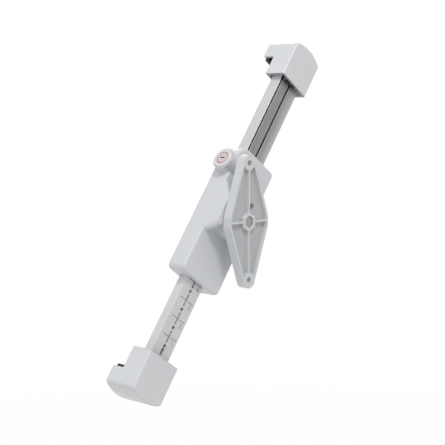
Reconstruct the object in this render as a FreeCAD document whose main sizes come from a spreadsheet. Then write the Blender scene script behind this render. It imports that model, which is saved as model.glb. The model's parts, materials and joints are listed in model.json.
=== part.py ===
import FreeCAD, Part
import math
import os

import Sketcher

# Diagonal tablet wall mount. A ribbed plate is screwed to the wall, a hub turns on it, and the hub's
# housing carries a telescoping arm that lies along the tablet's diagonal. A clamp on each end of the
# arm hooks over one corner of the tablet, and a push lock in the housing fixes the arm's length.
#
# Frame of the part: +Z up, the wall is the plane Y = 0 and the mount stands out towards -Y. The
# origin is on the hub axis, in the wall plane. All lengths are millimetres.
#
# Each piece is drawn in a frame of its own assembly, whose z is the distance from the wall. For the
# holder, x runs up along the arm and y across it; for the wall plate, x is level and y is up.

DRIVING = {
    # the tablet that the arm is set to, and how far its back is from the wall
    "tablet_tall": 240.0,
    "tablet_wide": 169.5,
    "tablet_thick": 6.1,
    "tablet_back": 37.5,
    "tablet_corner_round": 6.0,
    "tablet_centre": 3.75,
    # wall plate
    "plate_depth": 7.5,
    "plate_hole_pitch": 86.0,
    "plate_end_radius": 6.2,
    "plate_half_width": 20.5,
    "plate_flat": 7.0,
    "plate_side_round": 7.0,
    "plate_wall": 2.0,
    "plate_recess": 2.4,
    "plate_web": 2.2,
    "plate_seat_radius": 15.5,
    "plate_rib": 1.5,
    "plate_edge_break": 0.6,
    "screw_hole_radius": 2.2,
    "screw_head_radius": 4.0,
    "screw_head_sink": 1.4,
    "screw_boss_radius": 5.4,
    "bolt_boss_flats": 12.6,
    "bolt_floor": 3.0,
    "sight_hole_radius": 2.6,
    "sight_hole_across": 5.0,
    "sight_hole_up": 10.7,
    # hub and its bolt
    "hub_radius": 15.5,
    "hub_wall": 2.2,
    "hub_floor": 3.0,
    "friction_gap": 0.5,
    "friction_radius": 13.0,
    "bolt_radius": 2.5,
    "bolt_play": 0.1,
    "bolt_head_flats": 8.0,
    "bolt_head_height": 3.5,
    "bolt_beyond_nut": 1.2,
    "bolt_chamfer": 0.5,
    "washer_radius": 7.5,
    "washer_thick": 1.0,
    "disc_spring_radius": 5.6,
    "disc_spring_thick": 0.5,
    "disc_spring_rise": 0.4,
    "nut_height": 4.0,
    "nut_collar": 1.0,
    "nut_collar_inset": 0.4,
    "flats_play": 0.2,
    # housing
    "housing_low": 54.0,
    "housing_beyond_lock": 17.9,
    "housing_half_width": 21.7,
    "housing_back": 19.8,
    "housing_wall": 1.9,
    "cover_thick": 1.8,
    "cover_gap": 0.2,
    "low_corner_round": 4.0,
    "lock_corner_round": 11.0,
    "free_corner_round": 3.5,
    "back_edge_round": 1.6,
    "fairing_low": 16.5,
    "fairing_high": 9.5,
    "fairing_low_slope": 23.0,
    "fairing_high_slope": 50.0,
    "fairing_round": 3.0,
    "skin_step": 0.05,
    "rib_thick": 1.5,
    "seat_play": 0.1,
    "seat_inset": 8.0,
    "seat_second_inset": 24.0,
    "seat_past_hub": 7.0,
    "cover_boss_radius": 3.0,
    "cover_screw_inset": 5.2,
    "cover_screw_radius": 1.3,
    "cover_screw_length": 8.5,
    "cover_screw_head": 2.5,
    "cover_head_depth": 1.2,
    "cover_edge_break": 0.5,
    "lock_screw_gap": 15.6,
    "pad_radius": 4.5,
    "pad_sink": 0.6,
    "pad_inset": 11.0,
    "pad_end_inset": 19.0,
    "pad_edge_break": 0.3,
    # small screws
    "screw_play": 0.05,
    "recess_reach": 1.35,
    "recess_width": 0.5,
    "recess_depth": 0.6,
    # telescoping arm
    "channel_half_width": 11.3,
    "channel_back": 23.8,
    "channel_front": 34.3,
    "channel_wall": 1.3,
    "channel_round": 0.8,
    "channel_slot": 1.8,
    "channel_groove": 1.2,
    "channel_groove_depth": 0.8,
    "channel_groove_inset": 0.5,
    "arm_play": 0.15,
    "arm_wall": 2.0,
    "arm_edge_break": 0.4,
    "arm_top": 102.5,
    "arm_out": 60.0,
    "arm_in": 45.0,
    "hole_pitch": 15.0,
    "first_hole": 61.7,
    "holes_beyond_first": 3,
    "scale_holes": 13,
    "scale_hole_radius": 1.45,
    "scale_slot_length": 9.4,
    "scale_slot_width": 1.6,
    "end_slot_inset": 5.3,
    "end_slot_length": 5.5,
    "end_slot_width": 2.6,
    "stop_radius": 1.5,
    "stop_inset": 6.0,
    "stop_screw_inside": 1.0,
    "stop_key_depth": 1.0,
    # push lock
    "lock_height": 36.6,
    "lock_cover_gap": 0.25,
    "lock_proud": 1.0,
    "lock_cap_radius": 8.0,
    "lock_cap_wall": 1.4,
    "lock_cap_break": 0.5,
    "band_inset": 0.85,
    "band_width": 0.6,
    "band_sink": 0.4,
    "lock_play": 0.15,
    "lock_travel": 4.0,
    "socket_wall": 0.8,
    "socket_proud": 6.3,
    "ridge_end": 3.0,
    "lock_bolt_radius": 1.8,
    "lock_bolt_rim": 0.95,
    "lock_bolt_short": 0.4,
    "lock_bolt_chamfer": 0.4,
    "barrel_floor": 3.0,
    "key_plug_radius": 3.4,
    "key_slot_width": 0.9,
    "key_slot_length": 4.4,
    # corner clamps
    "corner_depth": 26.65,
    "clamp_half_width": 16.0,
    "clamp_length": 29.5,
    "clamp_arch": 4.0,
    "clamp_hook": 17.0,
    "clamp_back": 19.0,
    "clamp_front": 49.0,
    "clamp_wall": 2.0,
    "clamp_corner_round": 3.0,
    "clamp_edge_round": 1.3,
    "clamp_seat": 24.0,
    "clamp_rib": 1.2,
    "clamp_rib_spread": 7.0,
    "clamp_rib_near": 4.0,
    "clamp_rib_far": 19.0,
    "clamp_screw_radius": 1.45,
    "clamp_screw_head": 2.7,
    "clamp_head_depth": 1.3,
    "clamp_screw_sink": 1.4,
    "clamp_screw_bite": 4.0,
    "clamp_screw_reach": 12.0,
    "clamp_screw_spread": 6.5,
    "liner_gap": 0.1,
    "liner_proud": 2.5,
    "grip_play": 0.3,
}


class Size:
    """A length, as a number and as the sheet's expression for it."""

    def __init__(self, value, text):
        self.value = float(value)
        self.text = text

    @staticmethod
    def of(other):
        return other if isinstance(other, Size) else Size(other, "(%s)" % repr(float(other)))

    def __add__(self, other):
        other = Size.of(other)
        return Size(self.value + other.value, "(%s + %s)" % (self.text, other.text))

    def __sub__(self, other):
        other = Size.of(other)
        return Size(self.value - other.value, "(%s - %s)" % (self.text, other.text))

    def __mul__(self, other):
        other = Size.of(other)
        return Size(self.value * other.value, "(%s * %s)" % (self.text, other.text))

    def __truediv__(self, other):
        other = Size.of(other)
        return Size(self.value / other.value, "(%s / %s)" % (self.text, other.text))

    def __neg__(self):
        return Size(-self.value, "(0 - %s)" % self.text)

    def __rmul__(self, other):
        return Size.of(other) * self

    def __float__(self):
        return self.value

    def root(self):
        return Size(math.sqrt(self.value), "sqrt(%s)" % self.text)


doc = FreeCAD.newDocument("tablet_wall_mount")
sheet = doc.addObject("Spreadsheet::Sheet", "Sizes")
for row, (alias, amount) in enumerate(DRIVING.items(), start=1):
    sheet.set("A%d" % row, alias)
    sheet.set("B%d" % row, str(amount))
    sheet.setAlias("B%d" % row, alias)
doc.recompute()


def size(alias):
    return Size(sheet.get(alias), "Sizes." + alias)


# Sizes that follow from the driving ones

diagonal = (size("tablet_tall") * size("tablet_tall") + size("tablet_wide") * size("tablet_wide")).root()
lean = math.atan2(size("tablet_tall").value, size("tablet_wide").value)
high_mouth = size("tablet_centre") + diagonal / 2 - size("corner_depth")
low_mouth = diagonal / 2 - size("corner_depth") - size("tablet_centre")

hub_top = size("plate_depth") + size("friction_gap")
washer_seat = hub_top + size("hub_floor")
spring_seat = washer_seat + size("washer_thick")
nut_seat = spring_seat + size("disc_spring_rise") + size("disc_spring_thick")
bolt_seat = size("plate_depth") - size("bolt_floor")
bolt_hole = size("bolt_radius") + size("bolt_play")

housing_high = size("lock_height") + size("housing_beyond_lock")
housing_front = size("channel_front") + size("cover_gap") + size("cover_thick")
split = size("channel_front") + size("cover_gap")
cavity_back = size("housing_back") + size("housing_wall")
cavity_low = size("housing_low") - size("housing_wall")
cavity_high = housing_high - size("housing_wall")
cavity_half = size("housing_half_width") - size("housing_wall")
rib_inner = size("channel_half_width") + size("seat_play")
rib_outer = rib_inner + size("rib_thick")
boss_across = size("housing_half_width") - size("cover_screw_inset")
boss_low = size("housing_low") - size("cover_screw_inset")
boss_high = housing_high - size("cover_screw_inset")

channel_low = cavity_low - size("cover_gap")
channel_high = high_mouth + size("clamp_seat")
channel_inner = size("channel_half_width") - size("channel_wall")
arm_half = channel_inner - size("arm_play")
arm_back = size("channel_back") + size("channel_wall") + size("arm_play")
arm_front = size("channel_front") - size("channel_wall") - size("arm_play")
arm_low = low_mouth + size("clamp_seat")
stop_rest = size("arm_top") - size("stop_inset")

socket_radius = size("lock_cap_radius") + size("lock_play") + size("socket_wall")
socket_mouth = size("housing_half_width") + size("socket_proud")
lock_x = size("lock_height")
lock_z = split - size("lock_cover_gap") - socket_radius
barrel_radius = size("lock_cap_radius") - size("lock_cap_wall") - size("seat_play")
lock_bolt_depth = lock_z + barrel_radius - size("lock_bolt_rim") - size("lock_bolt_radius")
lock_bolt_hole = size("lock_bolt_radius") + size("lock_play")
lock_bolt_tip = size("channel_half_width") + size("lock_bolt_short")

COVER_SCREWS = (
    (-boss_low, -boss_across),
    (-boss_low, boss_across),
    (lock_x - size("lock_screw_gap"), -boss_across),
    (boss_high, boss_across),
)


# Helpers for drawing

def near(first, second):
    return abs(first - second) < 1e-4


def edges_where(shape, test):
    """Names of the edges whose points all pass the test."""
    names = []
    for number, edge in enumerate(shape.Edges, start=1):
        points = [edge.valueAt(at) for at in (edge.FirstParameter,
                                              (edge.FirstParameter + edge.LastParameter) / 2,
                                              edge.LastParameter)]
        if all(test(point) for point in points):
            names.append("Edge%d" % number)
    return names


class Drawing:
    """A sketch whose points are placed by expressions."""

    def __init__(self, body, plane, offset):
        count = len(body.Group)
        self.sketch = body.newObject("Sketcher::SketchObject", "%s_sketch_%d" % (body.Name, count))
        origin = [item for item in body.Origin.OriginFeatures if item.Role == plane][0]
        self.sketch.AttachmentSupport = [(origin, "")]
        self.sketch.MapMode = "FlatFace"
        self.sketch.setExpression("AttachmentOffset.Base.z", Size.of(offset).text)

    def limit(self, kind, geometry, point, amount):
        amount = Size.of(amount)
        if near(amount.value, 0):
            axis = -2 if kind == "DistanceX" else -1
            self.sketch.addConstraint(Sketcher.Constraint("PointOnObject", geometry, point, axis))
            return
        rule = Sketcher.Constraint(kind, -1, 1, geometry, point, amount.value)
        number = self.sketch.addConstraint(rule)
        self.sketch.setExpression("Constraints[%d]" % number, amount.text)

    def place(self, geometry, point, across, along):
        self.limit("DistanceX", geometry, point, across)
        self.limit("DistanceY", geometry, point, along)

    def radius(self, geometry, amount):
        amount = Size.of(amount)
        number = self.sketch.addConstraint(Sketcher.Constraint("Radius", geometry, amount.value))
        self.sketch.setExpression("Constraints[%d]" % number, amount.text)

    def line(self, start, end):
        ends = [FreeCAD.Vector(float(point[0]), float(point[1]), 0) for point in (start, end)]
        return self.sketch.addGeometry(Part.LineSegment(ends[0], ends[1]), False)

    def join(self, kind, first, second):
        self.sketch.addConstraint(Sketcher.Constraint(kind, first, 2, second, 1))

    def outline(self, corners):
        """A closed polygon with every corner placed."""
        sides = [self.line(corner, corners[(number + 1) % len(corners)])
                 for number, corner in enumerate(corners)]
        for number, side in enumerate(sides):
            self.join("Coincident", side, sides[(number + 1) % len(sides)])
            self.place(side, 1, *corners[number])
        return self

    def rectangle(self, left, low, right, high):
        return self.outline([(left, low), (right, low), (right, high), (left, high)])

    def circle(self, across, along, radius):
        centre = FreeCAD.Vector(float(across), float(along), 0)
        ring = Part.Circle(centre, FreeCAD.Vector(0, 0, 1), float(radius))
        geometry = self.sketch.addGeometry(ring, False)
        self.place(geometry, 3, across, along)
        self.radius(geometry, radius)
        return self

    def arc(self, across, along, radius, start, end):
        """An arc from one angle to another, in radians. The caller adds what holds it in place."""
        centre = FreeCAD.Vector(float(across), float(along), 0)
        ring = Part.Circle(centre, FreeCAD.Vector(0, 0, 1), float(radius))
        return self.sketch.addGeometry(Part.ArcOfCircle(ring, start, end), False)

    def rounded(self, left, low, right, high, radii):
        """A rectangle with its own corner radius at low left, low right, high right and high left."""
        corners = ((left, low, 1, 1), (right, low, -1, 1), (right, high, -1, -1), (left, high, 1, -1))
        arcs = []
        for number, (across, along, inward, upward) in enumerate(corners):
            turn = radii[number]
            start = math.pi + number * math.pi / 2
            arcs.append(self.arc(across + turn * inward, along + turn * upward, turn,
                                 start, start + math.pi / 2))
        for number, first in enumerate(arcs):
            second = arcs[(number + 1) % 4]
            start = self.sketch.getPoint(first, 2)
            end = self.sketch.getPoint(second, 1)
            side = self.sketch.addGeometry(Part.LineSegment(start, end), False)
            self.join("Tangent", first, side)
            self.join("Tangent", side, second)
            self.radius(first, radii[number])
            even = number % 2 == 0
            self.sketch.addConstraint(Sketcher.Constraint("Horizontal" if even else "Vertical", side))
            self.limit("DistanceY" if even else "DistanceX", side, 1, (low, right, high, left)[number])
        return self

    def hexagon(self, flats):
        """A hexagon about the origin, with a corner at the top."""
        half = flats / 2
        reach = flats / math.sqrt(3)
        corners = [(0, reach), (-half, reach / 2), (-half, -reach / 2),
                   (0, -reach), (half, -reach / 2), (half, reach / 2)]
        return self.outline(corners)


class Piece:
    """One physical piece, built up from sketches in its own body."""

    def __init__(self, label):
        self.body = doc.addObject("PartDesign::Body", label)
        self.body.Label = label

    def draw(self, offset=0.0, plane="XY_Plane"):
        return Drawing(self.body, plane, offset)

    def feature(self, kind, drawing):
        item = self.body.newObject("PartDesign::" + kind, "%s_%s_%d"
                                   % (self.body.Name, kind.lower(), len(self.body.Group)))
        if drawing is not None:
            item.Profile = drawing.sketch
            drawing.sketch.Visibility = False
        return item

    def extrude(self, kind, drawing, length, backwards):
        item = self.feature(kind, drawing)
        item.setExpression("Length", Size.of(length).text)
        item.Reversed = backwards
        doc.recompute()
        return item

    def pad(self, drawing, length, backwards=False, slope=0.0):
        """Adds the drawing, carried forwards by the length. It gets wider at the angle of the slope."""
        item = self.extrude("Pad", drawing, length, backwards)
        item.setExpression("TaperAngle", Size.of(slope).text)
        doc.recompute()
        return item

    def pocket(self, drawing, length, backwards=False):
        """Removes the drawing, carried forwards by the length."""
        before = self.body.Shape.Volume
        item = self.extrude("Pocket", drawing, length, not backwards)
        if self.body.Shape.Volume > before - 1e-3:
            raise RuntimeError("%s removed nothing from %s" % (item.Name, self.body.Label))
        return item

    def turn(self, drawing):
        """Turns the drawing a full circle about its own upright axis."""
        item = self.feature("Revolution", drawing)
        item.ReferenceAxis = (drawing.sketch, ["V_Axis"])
        item.Angle = 360
        doc.recompute()
        return item

    def soften(self, test, radius, kind="Fillet"):
        """Rounds or chamfers the edges whose points all pass the test."""
        base = self.body.Tip
        item = self.feature(kind, None)
        item.Base = (base, edges_where(base.Shape, test))
        item.setExpression("Radius" if kind == "Fillet" else "Size", Size.of(radius).text)
        doc.recompute()
        return item

    def repeat(self, originals, direction, step, count):
        """Repeats features along one of the body's own axes."""
        item = self.body.newObject("PartDesign::LinearPattern", "%s_row_%d"
                                   % (self.body.Name, len(self.body.Group)))
        item.Originals = originals
        axis = [part for part in self.body.Origin.OriginFeatures if part.Role == direction][0]
        item.Direction = (axis, [""])
        item.Occurrences = count
        item.setExpression("Length", (Size.of(step) * (count - 1)).text)
        self.body.Tip = item
        doc.recompute()
        return item


# Placements of the two drawing frames, and of a clamp on the holder

FROM_WALL = FreeCAD.Rotation(FreeCAD.Vector(1, 0, 0), 90)
ALONG_ARM = FreeCAD.Rotation(FreeCAD.Vector(0, 1, 0), math.degrees(lean) - 180).multiply(FROM_WALL)
plate_place = FreeCAD.Placement(FreeCAD.Vector(0, 0, 0), FROM_WALL)
holder_place = FreeCAD.Placement(FreeCAD.Vector(0, 0, 0), ALONG_ARM)


def clamp_place(mouth, half_turn):
    """The clamp's frame has x from its mouth outwards. The low clamp is the high one, turned round."""
    about = FreeCAD.Rotation(FreeCAD.Vector(0, 0, 1), 180 if half_turn else 0)
    along = -mouth.value if half_turn else mouth.value
    return holder_place.multiply(FreeCAD.Placement(FreeCAD.Vector(along, 0, 0), about))


pieces = []


def finish(item, placement):
    item.Placement = placement
    pieces.append(item)
    return item


# Wall plate: a rim with a thin web between its faces, ribs, and a screw boss at each end

def plate_outline(drawing, inset=0.0):
    """A tall diamond with blunt middle corners and round ends, drawn in by the inset."""
    inset = Size.of(inset)
    half_pitch = size("plate_hole_pitch") / 2
    width = size("plate_half_width")
    half_flat = size("plate_flat") / 2
    end = size("plate_end_radius")

    # The straight sides run from the blunt middle corners onto the round ends, as tangents
    reach = math.hypot(width.value, half_pitch.value - half_flat.value)
    drop = math.atan2(half_flat.value - half_pitch.value, width.value)
    touch = drop + math.acos(end.value / reach)
    width = width - inset
    half_flat = half_flat - inset * math.tan(touch / 2)
    end = end - inset
    ends = []
    for upper in (True, False):
        turn = 0 if upper else math.pi
        centre = half_pitch if upper else -half_pitch
        bow = drawing.arc(0, centre, end, touch + turn, math.pi - touch + turn)
        drawing.place(bow, 3, 0, centre)
        drawing.radius(bow, end)
        ends.append(bow)
    # Going round against the clock: the top end, the left side, the bottom end, the right side
    for first, second, side in ((ends[0], ends[1], -1), (ends[1], ends[0], 1)):
        leave = drawing.sketch.getPoint(first, 2)
        arrive = drawing.sketch.getPoint(second, 1)
        entry_corner = (width * side, half_flat * -side)
        exit_corner = (width * side, half_flat * side)
        entry = drawing.line((leave.x, leave.y), entry_corner)
        flat = drawing.line(entry_corner, exit_corner)
        leaving = drawing.line(exit_corner, (arrive.x, arrive.y))
        drawing.join("Tangent", first, entry)
        drawing.join("Coincident", entry, flat)
        drawing.join("Coincident", flat, leaving)
        drawing.join("Tangent", leaving, second)
        drawing.place(flat, 1, *entry_corner)
        drawing.place(flat, 2, *exit_corner)
    return drawing


def wall_plate():
    plate = Piece("wall_plate")
    half_pitch = size("plate_hole_pitch") / 2
    width = size("plate_half_width")
    depth = size("plate_depth")
    wall = size("plate_wall")
    plate.pad(plate_outline(plate.draw()), depth)
    plate.soften(lambda point: near(abs(point.x), width.value)
                 and near(abs(point.y), size("plate_flat").value / 2), size("plate_side_round"))
    plate.soften(lambda point: near(point.z, depth.value), size("plate_edge_break"), "Chamfer")
    plate.pocket(plate_outline(plate.draw(), wall), size("plate_recess"))
    web_top = size("plate_recess") + size("plate_web")
    plate.pocket(plate_outline(plate.draw(web_top), wall), depth - web_top)

    rib = size("plate_rib") / 2
    inside = width - wall / 2
    plate.pad(plate.draw().rectangle(-rib, -half_pitch, rib, half_pitch), depth)
    plate.pad(plate.draw().rectangle(-inside, -rib, inside, rib), depth)
    for centre in (half_pitch, -half_pitch):
        plate.pad(plate.draw().circle(0, centre, size("screw_boss_radius")), depth)
    plate.pad(plate.draw().hexagon(size("bolt_boss_flats")), depth)
    plate.pad(plate.draw(web_top).circle(0, 0, size("plate_seat_radius")), depth - web_top)

    plate.pocket(plate.draw().hexagon(size("bolt_head_flats") + size("flats_play")), bolt_seat)
    plate.pocket(plate.draw().circle(0, 0, bolt_hole), depth)
    sight_hole = plate.draw().circle(-size("sight_hole_across"), size("sight_hole_up"),
                                     size("sight_hole_radius"))
    plate.pocket(sight_hole, depth)
    for centre in (half_pitch, -half_pitch):
        plate.pocket(plate.draw().circle(0, centre, size("screw_hole_radius")), depth)
        head = plate.draw(depth - size("screw_head_sink"))
        plate.pocket(head.circle(0, centre, size("screw_head_radius")), size("screw_head_sink"))
    return finish(plate.body, plate_place)


# Hub hardware: bolt, friction ring, washer, disc spring and nut

def prism(name, flats, bottom, height):
    """A hexagonal prism with a corner at the top, as Part makes it."""
    item = doc.addObject("Part::Prism", name)
    item.Polygon = 6
    item.setExpression("Circumradius", (Size.of(flats) / math.sqrt(3)).text)
    item.setExpression("Height", Size.of(height).text)
    item.Placement.Rotation = FreeCAD.Rotation(FreeCAD.Vector(0, 0, 1), 30)
    item.setExpression("Placement.Base.z", Size.of(bottom).text)
    return item


def cylinder(name, radius, bottom, height):
    item = doc.addObject("Part::Cylinder", name)
    item.setExpression("Radius", Size.of(radius).text)
    item.setExpression("Height", Size.of(height).text)
    item.setExpression("Placement.Base.z", Size.of(bottom).text)
    return item


def combine(kind, name, first, *others):
    if kind == "Cut":
        item = doc.addObject("Part::Cut", name)
        item.Base = first
        item.Tool = others[0]
    else:
        item = doc.addObject("Part::MultiFuse", name)
        item.Shapes = [first] + list(others)
    doc.recompute()
    return item


def ring(label, inner, outer, bottom, height):
    disc = cylinder(label + "_disc", outer, bottom, height)
    hole = cylinder(label + "_hole", inner, bottom, height)
    item = combine("Cut", label, disc, hole)
    item.Label = label
    return item


def hub_bolt():
    head_low = bolt_seat - size("bolt_head_height")
    head = prism("bolt_head", size("bolt_head_flats"), head_low, size("bolt_head_height"))
    end = nut_seat + size("nut_height") + size("nut_collar") + size("bolt_beyond_nut")
    shank = cylinder("bolt_shank", size("bolt_radius"), bolt_seat, end - bolt_seat)
    bolt = combine("Fuse", "hub_bolt_blank", head, shank)
    item = doc.addObject("Part::Chamfer", "hub_bolt")
    item.Base = bolt
    tip = [int(name[4:]) for name in edges_where(bolt.Shape, lambda point: near(point.z, end.value))]
    chamfer = size("bolt_chamfer").value
    item.Edges = [(number, chamfer, chamfer) for number in tip]
    doc.recompute()
    item.Label = "hub_bolt"
    return finish(item, plate_place)


def hub_nut():
    body = prism("nut_body", size("bolt_head_flats"), nut_seat, size("nut_height"))
    collar_low = nut_seat + size("nut_height")
    collar_radius = size("bolt_head_flats") / 2 - size("nut_collar_inset")
    collar = cylinder("nut_collar_ring", collar_radius, collar_low, size("nut_collar"))
    blank = combine("Fuse", "nut_blank", body, collar)
    hole = cylinder("nut_thread", size("bolt_radius"), nut_seat,
                    size("nut_height") + size("nut_collar"))
    item = combine("Cut", "hub_nut", blank, hole)
    item.Label = "hub_nut"
    return finish(item, plate_place)


def disc_spring():
    """A shallow cone of spring steel: its rim is on the washer and its eye is under the nut."""
    spring = Piece("disc_spring")
    thick = size("disc_spring_thick")
    rise = size("disc_spring_rise")
    section = spring.draw(plane="XZ_Plane").outline([
        (bolt_hole, spring_seat + rise),
        (size("disc_spring_radius"), spring_seat),
        (size("disc_spring_radius"), spring_seat + thick),
        (bolt_hole, spring_seat + rise + thick)])
    spring.turn(section)
    return finish(spring.body, plate_place)


# Housing: a deep shell with the hub turret and the lock socket, and a flat cover on the tablet side

def housing_outline(drawing, inset=0.0):
    inset = Size.of(inset)
    half = size("housing_half_width") - inset
    radii = (size("lock_corner_round"), size("free_corner_round"), size("low_corner_round"))
    lock, free, low = [max(radius - inset, size("channel_round"), key=float) for radius in radii]
    return drawing.rounded(inset - size("housing_low"), -half, housing_high - inset, half,
                           (low, lock, free, low))


def rear_shell():
    shell = Piece("shell_moulding")
    back = size("housing_back")
    shell.pad(housing_outline(shell.draw(back)), split - back)
    shell.soften(lambda point: near(point.z, back.value), size("back_edge_round"))

    # The ridge over the lock and the turret of the hub stand on the back of the housing
    ridge = shell.draw(size("ridge_end"), "XZ_Plane").circle(lock_x, lock_z, socket_radius)
    shell.pad(ridge, socket_mouth - size("ridge_end"))
    shell.pad(shell.draw(hub_top).circle(0, 0, size("hub_radius")), cavity_back - hub_top)

    shell.pocket(housing_outline(shell.draw(cavity_back), size("housing_wall")), 3 * socket_radius)
    inner = size("hub_radius") - size("hub_wall")
    shell.pocket(shell.draw(washer_seat).circle(0, 0, inner), cavity_back - washer_seat)
    shell.pocket(shell.draw(hub_top).circle(0, 0, bolt_hole), size("hub_floor"))

    # Inside: the socket of the lock, two long ribs that hold the channel, seats under it, screw bosses
    socket = shell.draw(rib_outer, "XZ_Plane").circle(lock_x, lock_z, socket_radius)
    shell.pad(socket, cavity_half - rib_outer)
    for inside, outside in ((rib_inner, rib_outer), (-rib_outer, -rib_inner)):
        rib = shell.draw(cavity_back).rectangle(-cavity_low, inside, cavity_high, outside)
        shell.pad(rib, size("channel_front") - cavity_back)
    seat = size("channel_back") - size("seat_play")
    thick = size("rib_thick") / 2
    for along in (size("seat_inset") - cavity_low, size("seat_second_inset") - cavity_low,
                  size("hub_radius") + size("seat_past_hub"), cavity_high - size("seat_inset")):
        cross = shell.draw(cavity_back).rectangle(along - thick, -rib_inner, along + thick, rib_inner)
        shell.pad(cross, seat - cavity_back)
    for along, across in COVER_SCREWS:
        boss = shell.draw(cavity_back).circle(along, across, size("cover_boss_radius"))
        shell.pad(boss, split - cavity_back)
        pilot = shell.draw(housing_front - size("cover_screw_length") - size("screw_play"))
        shell.pocket(pilot.circle(along, across, size("cover_screw_radius")),
                     size("cover_screw_length"))

    # The socket's bore, the hole for its bolt, and the ends where the arm comes through
    bore = size("lock_cap_radius") + size("lock_play")
    shell.pocket(shell.draw(socket_mouth, "XZ_Plane").circle(lock_x, lock_z, bore),
                 socket_mouth - rib_outer, True)
    passage = shell.draw(rib_outer, "XZ_Plane")
    shell.pocket(passage.circle(lock_x, lock_bolt_depth, lock_bolt_hole), size("rib_thick"), True)
    gap = size("grip_play")
    low_end = shell.draw(-size("housing_low"), "YZ_Plane")
    low_end.rectangle(-arm_half - gap, arm_back - gap, arm_half + gap, arm_front + gap)
    shell.pocket(low_end, size("housing_wall"))
    high_end = shell.draw(cavity_high - gap, "YZ_Plane")
    high_end.rectangle(-size("channel_half_width") - gap, size("channel_back") - gap,
                       size("channel_half_width") + gap, split)
    shell.pocket(high_end, size("housing_wall") + gap)
    item = combine("Fuse", "rear_shell", shell.body, fairing())
    item.Label = "rear_shell"
    return finish(item, holder_place)


def fairing():
    """The soft wedge that carries the housing's lock side, flush, over to the round turret."""
    seam = size("hub_radius") - size("hub_wall") / 2
    halves = combine("Fuse", "fairing_halves",
                     fairing_half("fairing_low_half", -size("fairing_low"), size("fairing_low_slope")),
                     fairing_half("fairing_high_half", size("fairing_high"), size("fairing_high_slope")))
    room = cylinder("fairing_room", seam, hub_top, 2 * (cavity_back - hub_top))
    return combine("Cut", "fairing", halves, room)


def fairing_half(name, corner, slope):
    """The wedge from the turret's axis to its low or its high corner on the side of the housing.

    It gets wider on all its sides towards the housing. Only what lies between the turret's axis and
    the side of the housing stays.
    """
    step = size("skin_step")
    side = size("housing_half_width") - step
    top = hub_top + step * 2
    height = size("housing_back") + size("housing_wall") / 2 - top
    half = Piece(name)
    past_middle = corner / -4
    half.pad(half.draw(top).outline([(0, 0), (corner, -side), (past_middle, -side)]), height, slope=slope)
    reach = size("housing_low") * 2
    half.pocket(half.draw(top).rectangle(-reach, -reach, reach, -side), height)
    half.pocket(half.draw(top).rectangle(-reach, 0, reach, reach), height)
    outer = abs(corner.value) - 0.01
    sign = math.copysign(1, corner.value)
    half.soften(lambda point: near(point.y, -side.value) and point.x * sign > outer,
                size("fairing_round"))
    return half.body


def front_cover():
    cover = Piece("front_cover")
    cover.pad(housing_outline(cover.draw(split)), size("cover_thick"))
    cover.soften(lambda point: near(point.z, housing_front.value), size("cover_edge_break"), "Chamfer")
    for along, across in COVER_SCREWS:
        hole = cover.draw(split).circle(along, across, size("cover_screw_radius"))
        cover.pocket(hole, size("cover_thick"))
        head = cover.draw(housing_front - size("cover_head_depth"))
        cover.pocket(head.circle(along, across, size("cover_screw_head") + size("seat_play")),
                     size("cover_head_depth"))
    for along, across in pad_places():
        seat = cover.draw(housing_front - size("pad_sink")).circle(along, across, size("pad_radius"))
        cover.pocket(seat, size("pad_sink"))
    return finish(cover.body, holder_place)


def pad_places():
    across = size("housing_half_width") - size("pad_inset")
    return [(along, side * across)
            for along in (size("pad_end_inset") - size("housing_low"),
                          housing_high - size("pad_end_inset"))
            for side in (-1, 1)]


def group(label, shapes, placement):
    """Several alike solids in one node."""
    item = doc.addObject("Part::Feature", label)
    item.Label = label
    item.Shape = Part.makeCompound(shapes)
    return finish(item, placement)


def tablet_pads():
    foot = housing_front - size("pad_sink")
    pads = []
    for along, across in pad_places():
        radius = size("pad_radius") - size("seat_play")
        pad = Part.makeCylinder(radius.value, (size("tablet_back") - foot).value,
                                FreeCAD.Vector(along.value, across.value, foot.value))
        rim = [edge for edge in pad.Edges
               if near(edge.CenterOfMass.z, size("tablet_back").value) and edge.Closed]
        pads.append(pad.makeChamfer(size("pad_edge_break").value, rim))
    return group("tablet_pads", pads, holder_place)


def countersunk_screw(along, across, face, radius, head_radius, head_depth, length):
    """A cross-recessed screw driven from the tablet side, its head level with the face."""
    top = FreeCAD.Vector(float(along), float(across), float(face))
    inwards = FreeCAD.Vector(0, 0, -1)
    radius = (radius - size("screw_play")).value
    head = Part.makeCone(head_radius.value, radius, head_depth.value, top, inwards)
    shank = Part.makeCylinder(radius, length.value, top, inwards)
    screw = head.fuse(shank).removeSplitter()
    reach, wide = size("recess_reach").value, size("recess_width").value
    deep = size("recess_depth").value
    for turn in (0, 90):
        slot = Part.makeBox(2 * reach, wide, deep, FreeCAD.Vector(-reach, -wide / 2, 0))
        slot.rotate(FreeCAD.Vector(0, 0, 0), FreeCAD.Vector(0, 0, 1), turn)
        slot.translate(top - FreeCAD.Vector(0, 0, deep))
        screw = screw.cut(slot)
    return screw


def cover_screws():
    screws = [countersunk_screw(along, across, housing_front, size("cover_screw_radius"),
                                size("cover_screw_head"), size("cover_head_depth"),
                                size("cover_screw_length"))
              for along, across in COVER_SCREWS]
    return group("cover_screws", screws, holder_place)


# Telescoping arm: a slotted channel fixed in the housing, and a bar that slides in it

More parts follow.
